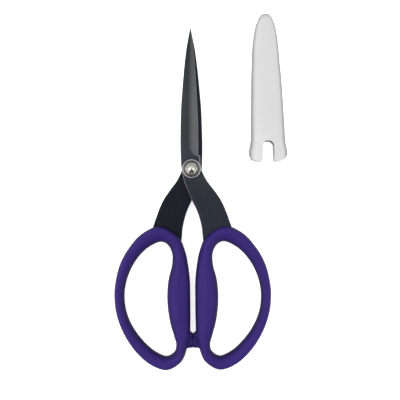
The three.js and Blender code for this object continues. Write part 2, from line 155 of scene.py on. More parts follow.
# Half the cover's width, how far its middle leans aside, and half its thickness, each against y.
COVER_WIDTH = [
    (COVER_NOSE_Y, 0.9), (87.6, 1.75), (86.7, 2.7), (85.1, 3.7), (83.4, 4.4), (80, 5.6), (73.3, 6.75),
    (66.6, 7.45), (60, 7.8), (53.1, 8.3), (39.7, 8.9), (26.3, 9.4), (16.2, 9.65), (12.8, 10.1), (9, 10.85),
    (COVER_MOUTH_Y, 10.7),
]
COVER_LEAN = [
    (COVER_NOSE_Y, -0.4), (80, -0.65), (66, -0.8), (55, -0.6), (42, -0.35), (30, -0.2), (16, 0),
    (COVER_MOUTH_Y, 0),
]
COVER_DEPTH = [
    (COVER_NOSE_Y, 0.8), (86.7, 1.6), (83.4, 2.3), (76, 2.75), (53, 3.5), (26, 4.1), (12, 4.6), (8, 4.75),
    (COVER_MOUTH_Y, 4.75),
]
NOTCH_TOP_Y = 15.3
NOTCH_HALF_WIDTH = 3.2
NOTCH_ROUND = 1.7


# ---- Curves ----------------------------------------------------------------------------------------------

def through(pairs):
    """A smooth function through (place, value) pairs, with no overshoot."""
    p = np.array(sorted(pairs), float)
    chord = np.diff(p[:, 1]) / np.diff(p[:, 0])
    before, after = chord[:-1], chord[1:]
    with np.errstate(divide="ignore", invalid="ignore"):
        inner = np.where(before * after > 0, 2 * before * after / (before + after), 0.0)
    slope = np.concatenate([chord[:1], inner, chord[-1:]])

    def at(place):
        s = np.clip(place, p[0, 0], p[-1, 0])
        i = np.clip(np.searchsorted(p[:, 0], s, side="right") - 1, 0, len(p) - 2)
        span = p[i + 1, 0] - p[i, 0]
        t = (s - p[i, 0]) / span
        rise = p[i + 1, 1] - p[i, 1]
        bend = (1 - t) * (slope[i] * span - rise) - t * (slope[i + 1] * span - rise)
        return p[i, 1] + t * rise + t * (1 - t) * bend

    return at


def closed_curve(points, places):
    """A closed centripetal curve through the points, at places counted in points."""
    p = np.array(points, float)
    n = len(p)
    i = np.floor(places).astype(int)
    t = (places - i)[:, None]
    a, b, c, d = (p[(i + k) % n] for k in (-1, 0, 1, 2))

    def knot(u, v):
        return np.maximum(np.linalg.norm(v - u, axis=1, keepdims=True) ** 0.5, 1e-6)

    k0, k1, k2 = knot(a, b), knot(b, c), knot(c, d)
    leave = ((b - a) / k0 - (c - a) / (k0 + k1) + (c - b) / k1) * k1
    arrive = ((c - b) / k1 - (d - b) / (k1 + k2) + (d - c) / k2) * k1
    return (
        (2 * t**3 - 3 * t**2 + 1) * b + (t**3 - 2 * t**2 + t) * leave
        + (3 * t**2 - 2 * t**3) * c + (t**3 - t**2) * arrive
    )


def smoothstep(low, high, value):
    """0 up to low and 1 from high on, with a soft step between. With low above high it falls instead."""
    t = np.clip((value - low) / (high - low), 0, 1)
    return t * t * (3 - 2 * t)


def power(value, exponent):
    """The value's size to a power, with the value's own sign."""
    return np.sign(value) * np.abs(value) ** exponent


# ---- Meshes ----------------------------------------------------------------------------------------------

def piece(name, verts, faces, materials, sharp=40.0):
    """A mesh object from points in millimetres, smooth but for edges sharper than sharp degrees."""
    mesh = bpy.data.meshes.new(name)
    mesh.from_pydata((np.asarray(verts, float) * MM).tolist(), [], faces)
    for material in materials:
        mesh.materials.append(material)
    obj = bpy.data.objects.new(name, mesh)
    bpy.context.scene.collection.objects.link(obj)
    face_outward(obj)
    shade(obj, sharp)
    return obj


def face_outward(obj):
    """Joins doubled points and turns every face outward."""
    bm = bmesh.new()
    bm.from_mesh(obj.data)
    bmesh.ops.remove_doubles(bm, verts=bm.verts, dist=1e-7)
    bmesh.ops.recalc_face_normals(bm, faces=bm.faces)
    bm.to_mesh(obj.data)
    bm.free()


def shade(obj, sharp):
    """Smooth shading but for edges sharper than sharp degrees."""
    obj.data.shade_smooth()
    obj.data.set_sharp_from_angle(angle=math.radians(sharp))


def tube_faces(rows, around, close_rows=False):
    """Quads of a grid of rows by around points, closed around, and closed along if close_rows."""
    faces = []
    for r in range(rows if close_rows else rows - 1):
        s = (r + 1) % rows
        for k in range(around):
            m = (k + 1) % around
            faces.append((r * around + k, r * around + m, s * around + m, s * around + k))
    return faces


def loft(name, sections, materials, close_rows=False, sharp=40.0):
    """A closed skin over sections, an array of rows by points by 3. Open ends get flat caps."""
    rows, around = sections.shape[:2]
    faces = tube_faces(rows, around, close_rows)
    if not close_rows:
        faces.append(tuple(range(around)))
        faces.append(tuple((rows - 1) * around + k for k in range(around)))
    return piece(name, sections.reshape(-1, 3), faces, materials, sharp)


def rounded(profile, radius, steps=4):
    """The profile with every inner corner rounded by an arc that starts radius away from it."""
    p = [np.array(q, float) for q in profile]
    out = [p[0]]
    for before, corner, after in zip(p, p[1:], p[2:]):
        back, ahead = before - corner, after - corner
        reach = min(radius, 0.45 * np.linalg.norm(back), 0.45 * np.linalg.norm(ahead))
        start = corner + back / np.linalg.norm(back) * reach
        end = corner + ahead / np.linalg.norm(ahead) * reach
        for k in range(steps + 1):
            t = k / steps
            out.append((1 - t) ** 2 * start + 2 * t * (1 - t) * corner + t * t * end)
    out.append(p[-1])
    return np.array(out)


def turned(name, profile, materials, sides=96):
    """A solid of revolution about the pivot's axis. The (radius, z) profile ends on the axis, or closes."""
    p = np.array(profile, float)
    angle = np.linspace(0, 2 * math.pi, sides, endpoint=False)
    verts = np.empty((len(p), sides, 3))
    verts[..., 0] = p[:, :1] * np.cos(angle)
    verts[..., 1] = p[:, :1] * np.sin(angle)
    verts[..., 2] = p[:, 1:2]
    closes = np.allclose(p[0], p[-1])
    if closes:
        verts = verts[:-1]
    return piece(name, verts.reshape(-1, 3), tube_faces(len(verts), sides, closes), materials)


def prism(name, outline, low, high):
    """An upright prism over a flat outline, used to cut other pieces."""
    n = len(outline)
    verts = [(x, y, z) for z in (low, high) for x, y in outline]
    faces = [(k, (k + 1) % n, n + (k + 1) % n, n + k) for k in range(n)]
    faces += [tuple(range(n)), tuple(range(n, 2 * n))]
    return piece(name, verts, faces, [])


def cut(obj, tool, sharp):
    """Cuts the tool out of obj, and removes the tool."""
    step = obj.modifiers.new("cut", "BOOLEAN")
    step.operation = "DIFFERENCE"
    step.solver = "EXACT"
    step.object = tool
    apply_modifiers(obj)
    bpy.data.objects.remove(tool)
    shade(obj, sharp)


def apply_modifiers(obj):
    """Makes what the modifiers show the object's own mesh."""
    evaluated = obj.evaluated_get(bpy.context.evaluated_depsgraph_get())
    mesh = bpy.data.meshes.new_from_object(evaluated)
    old = obj.data
    obj.modifiers.clear()
    obj.data = mesh
    bpy.data.meshes.remove(old)


def soften(obj, width, angle):
    """A small round on every edge sharper than angle degrees."""
    step = obj.modifiers.new("soften", "BEVEL")
    step.width = width * MM
    step.segments = 2
    step.limit_method = "ANGLE"
    step.angle_limit = math.radians(angle)
    step.harden_normals = False
    apply_modifiers(obj)


def turned_over(sections):
    """The same points on the rear half: turned over about the long axis at the shear plane."""
    out = sections.copy()
    out[..., 0] *= -1
    out[..., 2] = 2 * MID_Z - out[..., 2]
    return out


# ---- Materials -------------------------------------------------------------------------------------------

def grey(value):
    """The colour with this value in every channel."""
    return (value, value, value)


class Nodes:
    """A short way to wire the nodes of a new material, or of the world."""

    def __init__(self, owner):
        owner.use_nodes = True
        self.owner = owner
        self.tree = owner.node_tree
        self.shader = self.tree.nodes.get("Principled BSDF")

    def add(self, kind, **values):
        """A node whose settings or inputs have the given values."""
        node = self.tree.nodes.new(kind)
        for key, value in values.items():
            if hasattr(node, key):
                setattr(node, key, value)
            else:
                node.inputs[key].default_value = value
        return node

    def link(self, source, target):
        self.tree.links.new(source, target)

    def place(self, scale):
        """The piece's own coordinates, in metres, times scale along each axis."""
        mapping = self.add("ShaderNodeMapping")
        mapping.inputs["Scale"].default_value = scale
        self.link(self.add("ShaderNodeTexCoord").outputs["Object"], mapping.inputs["Vector"])
        return mapping.outputs["Vector"]

    def noise(self, scale, detail):
        """Noise from 0 to 1, with scale waves to the metre along each axis."""
        node = self.add("ShaderNodeTexNoise", Detail=detail, Roughness=0.5)
        node.inputs["Scale"].default_value = 1.0
        self.link(self.place(scale), node.inputs["Vector"])
        return node.outputs["Fac"]

    def span(self, source, low, high, start=0.3, end=0.7):
        """source, from start to end, spread over low to high."""
        node = self.add("ShaderNodeMapRange")
        for key, value in {"From Min": start, "From Max": end, "To Min": low, "To Max": high}.items():
            node.inputs[key].default_value = value
        self.link(source, node.inputs["Value"])
        return node.outputs["Result"]

    def shades(self, source, colours):
        """A ramp through (place, colour) stops."""
        ramp = self.add("ShaderNodeValToRGB")
        stops = ramp.color_ramp.elements
        while len(stops) < len(colours):
            stops.new(0.5)
        for stop, (place, colour) in zip(stops, colours):
            stop.position = place
            stop.color = (*colour, 1.0)
        self.link(source, ramp.inputs["Fac"])
        return ramp.outputs["Color"]

    def axis(self, letter):
        """One of the piece's own coordinates, in metres."""
        split = self.add("ShaderNodeSeparateXYZ")
        self.link(self.place((1, 1, 1)), split.inputs[0])
        return split.outputs[letter]

    def size_of(self, source):
        """The source without its sign."""
        size = self.add("ShaderNodeMath", operation="ABSOLUTE")
        self.link(source, size.inputs[0])
        return size.outputs[0]

    def facing_up(self):
        """1 where the surface is level, 0 where it is upright."""
        split = self.add("ShaderNodeSeparateXYZ")
        self.link(self.add("ShaderNodeNewGeometry").outputs["Normal"], split.inputs[0])
        return self.size_of(split.outputs["Z"])

    def off_middle(self, reach):
        """0 at the shear plane, and 1 at reach millimetres above or below it."""
        height = self.add("ShaderNodeMath", operation="SUBTRACT")
        self.link(self.axis("Z"), height.inputs[0])
        height.inputs[1].default_value = MID_Z * MM
        return self.span(self.size_of(height.outputs[0]), 0, 1, start=0, end=reach * MM)

    def times(self, colour, factor):
        """The colour scaled by a factor that runs over the surface."""
        mix = self.add("ShaderNodeMix", data_type="RGBA", blend_type="MULTIPLY")
        mix.inputs["Factor"].default_value = 1.0
        self.link(colour, mix.inputs["A"])
        self.link(factor, mix.inputs["B"])
        return mix.outputs["Result"]

    def bump(self, source, height, strength):
        """A relief of the source, height millimetres deep."""
        node = self.add("ShaderNodeBump", Strength=strength)
        node.inputs["Distance"].default_value = height * MM
        self.link(source, node.inputs["Height"])
        self.link(node.outputs["Normal"], self.shader.inputs["Normal"])

    def set(self, **values):
        """Gives inputs of the shader fixed values."""
        for key, value in values.items():
            self.shader.inputs[key.replace("_", " ")].default_value = value


def coated_steel(name, dark, light, rough, gloss=0.25, metallic=0.15, level=1.0):
    """Dark coated steel: a fine grain along the blade, a drift of tint, and painted shade along it: a darker,
    bluer tang and a darker tip.

    level is the share of the colour that level surfaces show, as painted shade: a ground face reads paler as
    it slopes away.
    """
    n = Nodes(bpy.data.materials.new(name))
    grain = n.noise((5200, 160, 2500), 3)
    cloud = n.noise((110, 45, 110), 2)
    tint = n.noise((170, 40, 170), 1)
    colour = n.shades(cloud, [(0.3, dark), (0.7, light)])
    drift = [(0.38, (1.03, 0.99, 1.04)), (0.5, grey(1)), (0.62, (0.93, 1.02, 1.06))]
    colour = n.times(colour, n.shades(tint, drift))
    along = n.span(n.axis("Y"), 0, 1, start=-0.1, end=0.1)
    # Painted shade along the blade: the tang darker and bluer, the tip darker, a bluish tint just past the
    # choil.
    shade_along_blade = [
        (0.41, (0.5, 0.56, 0.72)), (0.5, grey(1)), (0.545, (0.92, 1, 1.12)), (0.585, grey(1)),
        (0.72, grey(1)), (0.86, (0.66, 0.66, 0.68)),
    ]
    colour = n.times(colour, n.shades(along, shade_along_blade))
    if level < 1:
        # Painted shade: level surfaces darkened to the share level.
        colour = n.times(colour, n.shades(n.facing_up(), [(0.94, grey(1)), (0.995, grey(level))]))
    n.link(colour, n.shader.inputs["Base Color"])
    n.link(n.span(grain, rough - 0.05, rough + 0.06), n.shader.inputs["Roughness"])
    n.bump(grain, 0.004, 0.3)
    n.set(Metallic=metallic, Specular_IOR_Level=gloss)
    return n.owner


def bright_steel(name, colour, rough, turning, marks=0.35):
    """Plated steel. turning is how close the turning marks round the pivot lie, marks how strong they are."""
    n = Nodes(bpy.data.materials.new(name))
    rings = n.add("ShaderNodeTexWave", wave_type="RINGS", rings_direction="Z")
    rings.inputs["Scale"].default_value = turning
    rings.inputs["Distortion"].default_value = 0.6
    n.link(n.place((1, 1, 1)), rings.inputs["Vector"])
    smudge = n.noise((700, 700, 700), 3)
    n.link(n.span(smudge, rough - 0.04, rough + 0.07), n.shader.inputs["Roughness"])
    shades = n.shades(smudge, [(0.3, tuple(0.86 * c for c in colour)), (0.7, colour)])
    n.link(shades, n.shader.inputs["Base Color"])
    n.bump(rings.outputs["Fac"], 0.006, marks)
    n.set(Metallic=1.0)
    return n.owner


def soft_purple(name, low, high, rough=0.6, shaded_middle=True):
    """Soft-touch overmould: matte, with painted light and shade by slope, paler on its crown and darker on
    its upright sides, and a fine moulded grain.

    With shaded_middle it darkens towards the shear plane, where the two handles shade each other.
    """
    n = Nodes(bpy.data.materials.new(name))
    cloud = n.noise((55, 55, 55), 2)
    grain = n.noise((5200, 5200, 5200), 2)
    colour = n.shades(cloud, [(0.3, low), (0.7, high)])
    # Painted shade on upright surfaces and painted light on level ones.
    crown = [(0.3, (0.26, 0.2, 0.38)), (0.96, (1.06, 1.04, 1.04))]
    colour = n.times(colour, n.shades(n.facing_up(), crown))
    if shaded_middle:
        middle = [(0.45, (0.42, 0.33, 0.6)), (0.68, grey(1))]
        colour = n.times(colour, n.shades(n.off_middle(5), middle))
    n.link(colour, n.shader.inputs["Base Color"])
    n.link(n.span(grain, rough - 0.05, rough + 0.07), n.shader.inputs["Roughness"])
    n.bump(grain, 0.02, 0.35)
    n.set(Specular_IOR_Level=0.14)
    return n.owner


def cover_plastic(name, upright=0.3):
    """Pale milky plastic, with painted shade on upright surfaces and painted light on level ones. upright is
    the share of the colour that its upright surfaces show.
    """
    n = Nodes(bpy.data.materials.new(name))
    cloud = n.noise((45, 22, 45), 2)
    grain = n.noise((1500, 700, 1500), 2)
    colour = n.shades(cloud, [(0.3, (0.55, 0.55, 0.552)), (0.7, grey(0.58))])
    # Painted shade on upright surfaces, painted light on level ones.
    crown = [(0.25, grey(upright)), (0.75, grey(0.2 + upright)), (0.96, grey(1.06))]
    n.link(n.times(colour, n.shades(n.facing_up(), crown)), n.shader.inputs["Base Color"])
    n.link(n.span(grain, 0.38, 0.5), n.shader.inputs["Roughness"])
    n.bump(grain, 0.01, 0.3)
    n.set(Specular_IOR_Level=0.3)
    return n.owner


def hidden_plastic(name, colour, rough):
    """Plain moulded plastic for pieces inside the tool."""
    n = Nodes(bpy.data.materials.new(name))
    flow = n.noise((300, 120, 300), 2)
    shades = n.shades(flow, [(0.3, tuple(0.8 * c for c in colour)), (0.7, colour)])
    n.link(shades, n.shader.inputs["Base Color"])
    n.link(n.span(flow, rough - 0.06, rough + 0.06), n.shader.inputs["Roughness"])
    n.bump(flow, 0.02, 0.3)
    return n.owner


def paper(name):
    """A pale sheet that glows a little, like a light table."""
    n = Nodes(bpy.data.materials.new(name))
    cloud = n.noise((30, 30, 30), 2)
    n.link(n.shades(cloud, [(0.3, grey(0.9)), (0.7, grey(0.92))]), n.shader.inputs["Base Color"])
    n.set(Roughness=0.9, Specular_IOR_Level=0.1, Emission_Color=(1, 1, 1, 1), Emission_Strength=0.75)
    return n.owner


# ---- Blades ----------------------------------------------------------------------------------------------

spine_x = through(SPINE_SIDE)
edge_x = through(EDGE_SIDE)
ridge_x = through(RIDGE)
stock_at = through([(TIP_Y, TIP_STOCK), (45, 1.75), (16, STOCK), (TANG_END_Y, STOCK)])

# Where a cross-section's points lie: along the flat, down the ground face and back along the shear face.
FLAT_SHARES = (0, 0.04, 0.3, 0.6, 0.92)
GROUND_SHARES = (0, 0.06, 0.14, 0.25, 0.4, 0.55, 0.7, 0.85, 1)
SHEAR_SHARES = (0.25, 0.5, 0.75)
# The order of a blade's materials.
COATED, GROUND, HONED_AND_HIGHLIGHT, SHEAR = range(4)


def blade_rows():
    """Places along the blade, closer together at the choil, the plunge and the tang's shoulder."""
    # From, to and the number of places.
    stretches = [
        (TANG_END_Y, -46, 26), (-46, -33, 34), (-33, -8, 36), (-8, 5.5, 22),
        (5.5, 9.5, 22), (9.5, 20, 26), (20, 66, 50), (66, TIP_Y, 26),
    ]
    rows = [np.linspace(a, b, n, endpoint=False) for a, b, n in stretches]
    return np.concatenate([*rows, [TIP_Y]])


def blade_sections():
    """Closed cross-sections of the front half's steel, from the tang to the tip."""
    sections = []
    for y in blade_rows():
        spine, edge, stock = spine_x(y), edge_x(y), stock_at(y)
        width = edge - spine
        ridge = min(max(ridge_x(y), spine + 0.2 * width), edge - 0.3 * width)
        bevel = min(SPINE_BEVEL, 0.2 * width)
        # The honed edge is twice as wide at the choil, where the ground face has ended.
        choil = smoothstep(8.4, 7, y) * smoothstep(1, 3, y)
        honed = min(HONED_WIDTH * (1 + choil), HONED_SHARE * width)
        crown = SPINE_DROP * smoothstep(-8, 14, y) * min(1, width / 6)

        def top(x):
            """Height of the outer face: crowned towards the spine, ground down towards the edge."""
            if x < ridge:
                return stock - crown * ((ridge - x) / (ridge - spine)) ** 2
            down = (x - ridge) / (edge - ridge)
            # The plunge runs slantwise: the ground face starts later at the ridge than at the edge.
            plunge = smoothstep(5.6 + 4.4 * (1 - down), 8.6 + 5.2 * (1 - down), y)
            return stock - plunge * (stock - EDGE_THICKNESS) * down**GRIND_POWER

        flat = [spine + bevel + f * (ridge - spine - bevel) for f in FLAT_SHARES]
        ground = [ridge + f * (edge - honed - ridge) for f in GROUND_SHARES]
        side = max(top(edge) - 0.2, 0.06)
        last = top(edge - honed)
        loop = [
            (spine + 0.1, 0), (spine, 0.1), (spine, top(spine) - bevel),
            (spine + 0.3 * bevel, top(spine) - 0.3 * bevel),
        ]
        loop += [(x, top(x)) for x in flat + ground]
        loop += [(edge - 0.35 * honed, side + 0.35 * (last - side)), (edge, side), (edge, 0)]
        loop += [(edge - f * width, 0) for f in SHEAR_SHARES]
        sections.append([(x, y, FRONT_BLADE_Z + z) for x, z in loop])
    return np.array(sections)


def drill_blade(obj, flip):
    """The pivot hole and the slip washer's recess in the shear face."""
    bore, low, high = SHOULDER_RADIUS + 0.06, MID_Z - 3, MID_Z + 3
    hole = [(0, low), (bore, low), (bore, high), (0, high)]
    cut(obj, turned("hole", hole, [], sides=64), sharp=30)
    floor = MID_Z - RECESS_DEPTH if flip else MID_Z + RECESS_DEPTH
    recess = [(0, MID_Z), (RECESS_RADIUS, MID_Z), (RECESS_RADIUS, floor), (0, floor)]
    cut(obj, turned("recess", recess, [], sides=64), sharp=30)


def paint_blade(obj, flip):
    """Gives the ground face and the honed edge their own finish, the shear face a darker steel as painted
    shade, and the spine bevel beside the pivot the honed edge's paler steel as a painted highlight.
    """
    side = -1 if flip else 1
    for polygon in obj.data.polygons:
        centre = polygon.center / MM
        x, y = side * centre.x, centre.y
        up = side * polygon.normal.z
        spine, edge = spine_x(y), edge_x(y)
        honed = min(HONED_WIDTH, HONED_SHARE * (edge - spine))
        # The spine bevel beside the pivot gets the honed edge's paler steel as a painted highlight; at the
        # choil it is the honed bevel.
        beside_pivot = y < 2 and x < spine + 0.3
        at_choil = 2 < y < 8 and x > edge - 0.65
        # The shear face gets its darker steel: painted shade.
        if up < -0.9 and y > -45:
            polygon.material_index = SHEAR
        elif 0.3 < up < 0.95 and (beside_pivot or at_choil):
            polygon.material_index = HONED_AND_HIGHLIGHT
        elif y < 7 or up < 0.05:
            continue
        elif x > edge - honed:
            polygon.material_index = HONED_AND_HIGHLIGHT
        elif x > ridge_x(y) and up < 0.9995:
            polygon.material_index = GROUND


def build_blade(name, node, body, flip):
    """One half's steel. With flip it is the rear half's."""
    sections = blade_sections()
    if flip:
        sections = turned_over(sections)
    blade = loft(name, sections, [STEEL, GROUND_STEEL, HONED_AND_HIGHLIGHT_STEEL, SHADED_SHEAR_STEEL], sharp=24)
    paint_blade(blade, flip)
    drill_blade(blade, flip)
    stand_in(blade, node, body)


# ---- Handles ---------------------------------------------------------------------------------------------

def rib_places():
    """Places round the ring, counted in ribs, closer together where the stop boss stands out."""
    near_boss = {6: 30, 7: 48, 8: 40}
    counts = [near_boss.get(rib, 11) for rib in range(len(RIBS))]
    return np.concatenate([rib + np.arange(count) / count for rib, count in enumerate(counts)])


def ring_sections(around=96):
    """Cross-sections of the right-hand ring: full on the outside, and falling steeply to the hole."""
    ribs = np.array(RIBS, float)
    places = rib_places()
    hole = closed_curve(ribs[:, 0:2], places)
    outside = closed_curve(ribs[:, 2:4], places)
    # The lean counts ten times in this curve's spacing, and its third column is idle.
    shape = closed_curve(ribs[:, [4, 5, 5]] * [1, 10, 0], places)
    half_height, crown = shape[:, :1], shape[:, 1:2] / 10
    # 0 on the bar by the gap, 1 on the outer bow, whose outside is fuller.
    sloping = smoothstep(-0.05, 0.1, crown)
    angle = np.linspace(0, 2 * math.pi, around, endpoint=False)[None, :]
    side, up = np.cos(angle), np.sin(angle)
    outer = side >= 0
    across_power = np.where(outer, 1.6 - 0.82 * sloping, 1.1 + 0.27 * sloping)
    up_power = np.where(outer, 0.8, 0.86)
    reach = np.where(outer, 1 - crown, 1 + crown)
    across = 0.5 + 0.5 * (crown + reach * power(side, across_power))
    sections = np.empty((len(places), around, 3))
    sections[..., :2] = hole[:, None] + across[..., None] * (outside - hole)[:, None]
    sections[..., 2] = MID_Z + power(up, up_power) * half_height
    return sections


def add_boss(sections):
    """Draws the gap side out to the stop boss: the gap ends in a round, and the boss in a flat foot."""
    x, y, z = (sections[..., k] for k in range(3))
    into = np.clip((BOSS_TOP_Y - y) / BOSS_ROUND, 0, 1)
    along = into**1.5 * (1 - smoothstep(BOSS_FOOT_Y, BOSS_FOOT_Y - BOSS_FOOT_ROUND, y))
    upright = 1 - smoothstep(1.6, 2.9, np.abs(z - MID_Z))
    facing = 1 - smoothstep(5.0, 6.0, x)
    sections[..., 0] = x + along * upright * facing * np.minimum(BOSS_FACE_X - x, 0)
    return sections


def build_grip(name, node, body, flip):
    """One handle's soft ring with its stop boss. With flip it is the rear half's."""
    sections = add_boss(ring_sections())
    if flip:
        sections = turned_over(sections)
    grip = loft(name, sections, [PURPLE], close_rows=True, sharp=80)
    stand_in(grip, node, body)


def build_stop_pad(name, node, body, flip):
    """A small upright rubber block with rounded edges."""
    half_x = (STOP_BACK_X - STOP_FACE_X) / 2
    half_y = (STOP_TOP_Y - STOP_BOTTOM_Y) / 2
    centre = (STOP_FACE_X + half_x, (STOP_TOP_Y + STOP_BOTTOM_Y) / 2, MID_Z)
    angle = np.linspace(0, 2 * math.pi, 48, endpoint=False)
    # Low powers square the block off: 1 would make it an ellipsoid.
    rows = []
    for tilt in np.linspace(-math.pi / 2, math.pi / 2, 33)[1:-1]:
        reach = abs(math.cos(tilt)) ** 0.2
        rise = power(math.sin(tilt), 0.2)
        rows.append(np.column_stack([
            centre[0] + half_x * reach * power(np.cos(angle), 0.25),
            centre[1] + half_y * reach * power(np.sin(angle), 0.3),
            np.full(len(angle), centre[2] + STOP_HALF_HEIGHT * rise),
        ]))
    sections = np.array(rows)
    if flip:
        sections = turned_over(sections)
    stand_in(loft(name, sections, [SHADED_PAD_PURPLE], sharp=80), node, body)


# ---- Pivot -----------------------------------------------------------------------------------------------

def node_heights(node):
    """Lowest and highest point of a CAD node, in millimetres."""
    low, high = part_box(node)
    return low.z / MM, high.z / MM


def build_screw():
    """A round head below, a shoulder, a thread and the peened cap above the nut."""
    low, high = node_heights("pivot_screw")
    cap_start = node_heights("pivot_nut")[1] + CAP_CLEARANCE
    cap_height = high - cap_start
    profile = [
        (0, low), (2.45, low), (2.9, 0.5), (HEAD_RADIUS, 1.1), (HEAD_RADIUS, HEAD_TOP),
        (SHOULDER_RADIUS, HEAD_TOP), (SHOULDER_RADIUS, FRONT_BLADE_TOP),
        (THREAD_RADIUS, FRONT_BLADE_TOP + 0.1),
    ]
    profile = list(rounded(profile, 0.14))
    thread_start = node_heights("lock_washer")[0]
    for k in range(int((cap_start - thread_start) / THREAD_PITCH)):
        z = thread_start + k * THREAD_PITCH
        profile += [(THREAD_RADIUS - THREAD_DEPTH, z), (THREAD_RADIUS, z + 0.2), (THREAD_RADIUS, z + 0.3)]
    profile.append((THREAD_RADIUS, cap_start))
    for turn in np.linspace(0, math.pi / 2, 16):
        profile.append((CAP_RADIUS * math.cos(turn), cap_start + cap_height * math.sin(turn)))
    profile[-1] = (0, high)
    screw = turned("pivot_screw_turned", profile, [BRIGHT, CAP_HIGHLIGHT_STEEL])
    # The peened cap gets a paler copy of the plated steel: a painted highlight.
    for polygon in screw.data.polygons:
        if polygon.center.z / MM > cap_start:
            polygon.material_index = 1
    stand_in(screw, "pivot_screw", "rear_half")


def build_front_washer():
    """A dished washer: flat floor, sloping wall and a rounded rim."""
    low, high = node_heights("front_washer")
    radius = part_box("front_washer")[1].x / MM
    bore = THREAD_RADIUS + 0.1
    floor = low + 0.55
    groove = low + 0.3
    corners = [
        (bore, low), (radius - 0.05, low), (radius, low + 0.25), (radius, high), (radius - 0.55, high),
        (radius - 0.75, groove), (radius - 1, groove), (radius - 1.15, floor), (bore, floor), (bore, low),
    ]
    washer = turned("front_washer_dished", rounded(corners, 0.14, 5), [BRIGHT_TURNED, SHADED_PLATED_STEEL])
    # The floor inside the rim gets the darker plated steel: painted shade.
    for polygon in washer.data.polygons:
        if polygon.center.xy.length / MM < radius - 0.62:
            polygon.material_index = 1
    stand_in(washer, "front_washer", "rear_half")


def build_rear_washer():
    """A flat washer with rounded edges."""
    low, high = node_heights("rear_washer")
    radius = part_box("rear_washer")[1].x / MM
    bore = SHOULDER_RADIUS + 0.1
    corners = [(bore, low), (radius, low), (radius, high), (bore, high), (bore, low)]
    washer = turned("rear_washer_flat", rounded(corners, 0.16), [BRIGHT_TURNED])
    stand_in(washer, "rear_washer", "rear_half")


def build_lock_washer():
    """A split ring whose two ends spring apart."""
    low, high = node_heights("lock_washer")
    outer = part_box("lock_washer")[1].y / MM     # the split is on the +X side, so +Y gives the radius
    inner = THREAD_RADIUS + 0.15
    spring = 0.1
    base, top = low + spring, high - spring
    corners = [(inner, base), (outer, base), (outer, top), (inner, top), (inner, base)]
    profile = rounded(corners, 0.08, 3)[:-1]
    start = LOCK_WASHER_SPLIT_ANGLE + LOCK_WASHER_HALF_GAP
    end = LOCK_WASHER_SPLIT_ANGLE + 2 * math.pi - LOCK_WASHER_HALF_GAP
    turns = np.linspace(start, end, 90)
    sections = np.empty((len(turns), len(profile), 3))
    for k, turn in enumerate(turns):
        rise = spring * (2 * k / (len(turns) - 1) - 1)
        sections[k, :, 0] = profile[:, 0] * math.cos(turn)
        sections[k, :, 1] = profile[:, 0] * math.sin(turn)
        sections[k, :, 2] = profile[:, 1] + rise
    stand_in(loft("lock_washer_split", sections, [BRIGHT]), "lock_washer", "rear_half")


def build_nut():
    """A hexagon nut whose six sides slope in at the top, with a countersunk bore."""
    low, high = node_heights("pivot_nut")
    corner = NUT_FLAT_RADIUS / math.cos(math.pi / 6)

    def hexagon(scale, z):
        turns = [k * math.pi / 3 for k in range(6)]
        return [(scale * corner * math.cos(turn), scale * corner * math.sin(turn), z) for turn in turns]

    levels = [(0.94, low), (1, low + 0.2), (1, high - 0.6), (NUT_TOP_SCALE, high)]
    sections = np.array([hexagon(*level) for level in levels])
    nut = loft("pivot_nut_hexagon", sections, [BRIGHT, SHADED_PLATED_STEEL], sharp=20)
    bore = THREAD_RADIUS + 0.03
    foot, mouth = bore + 0.2, bore + 0.12
    hole = [
        (0, low - 1), (foot, low - 1), (foot, low), (bore, low + 0.2), (bore, high - 0.1),
        (mouth, high), (mouth, high + 1), (0, high + 1),
    ]
    cut(nut, turned("bore", hole, [BRIGHT], sides=72), sharp=20)
    soften(nut, 0.06, angle=18)
    shade(nut, sharp=60)
    # The nut's level top gets the darker plated steel: a painted shade ring round the cap.
    for polygon in nut.data.polygons:
        if polygon.normal.z > 0.95:
            polygon.material_index = 1
    stand_in(nut, "pivot_nut", "tension_nut")


# ---- Blade cover -----------------------------------------------------------------------------------------

cover_width = through(COVER_WIDTH)
cover_depth = through(COVER_DEPTH)
cover_lean = through(COVER_LEAN)


def cover_section(y, inset):
    """The cover's section: broad, slightly crowned panels, and a softer shoulder on the left."""
    half, deep = cover_width(y) - inset, cover_depth(y) - inset
    angle = np.linspace(0, 2 * math.pi, 72, endpoint=False)
    shoulder = np.where(np.cos(angle) < 0, 0.8, 0.5)
    return np.column_stack([
        half * power(np.cos(angle), shoulder), deep * power(np.sin(angle), 0.66),
    ])


def cover_skin(name, inset, extra):
    """The cover as a solid, inset all round and carried on below the mouth by extra."""
    nose_start = 76
    rows = np.concatenate([
        [COVER_MOUTH_Y - extra] if extra else [],
        np.linspace(COVER_MOUTH_Y, 17, 24, endpoint=False),
        np.linspace(17, nose_start, 34, endpoint=False),
        COVER_NOSE_Y - (COVER_NOSE_Y - nose_start) * (1 - np.linspace(0, 1, 30)) ** 2,
    ])
    sections = []
    for y in rows:
        place = max(y, COVER_MOUTH_Y)
        along = min(y, COVER_NOSE_Y - inset)
        middle = COVER_X + cover_lean(place)
        sections.append([(middle + x, along, cover_depth(place) + z) for x, z in cover_section(place, inset)])
    return loft(name, np.array(sections), [COVER], sharp=50)


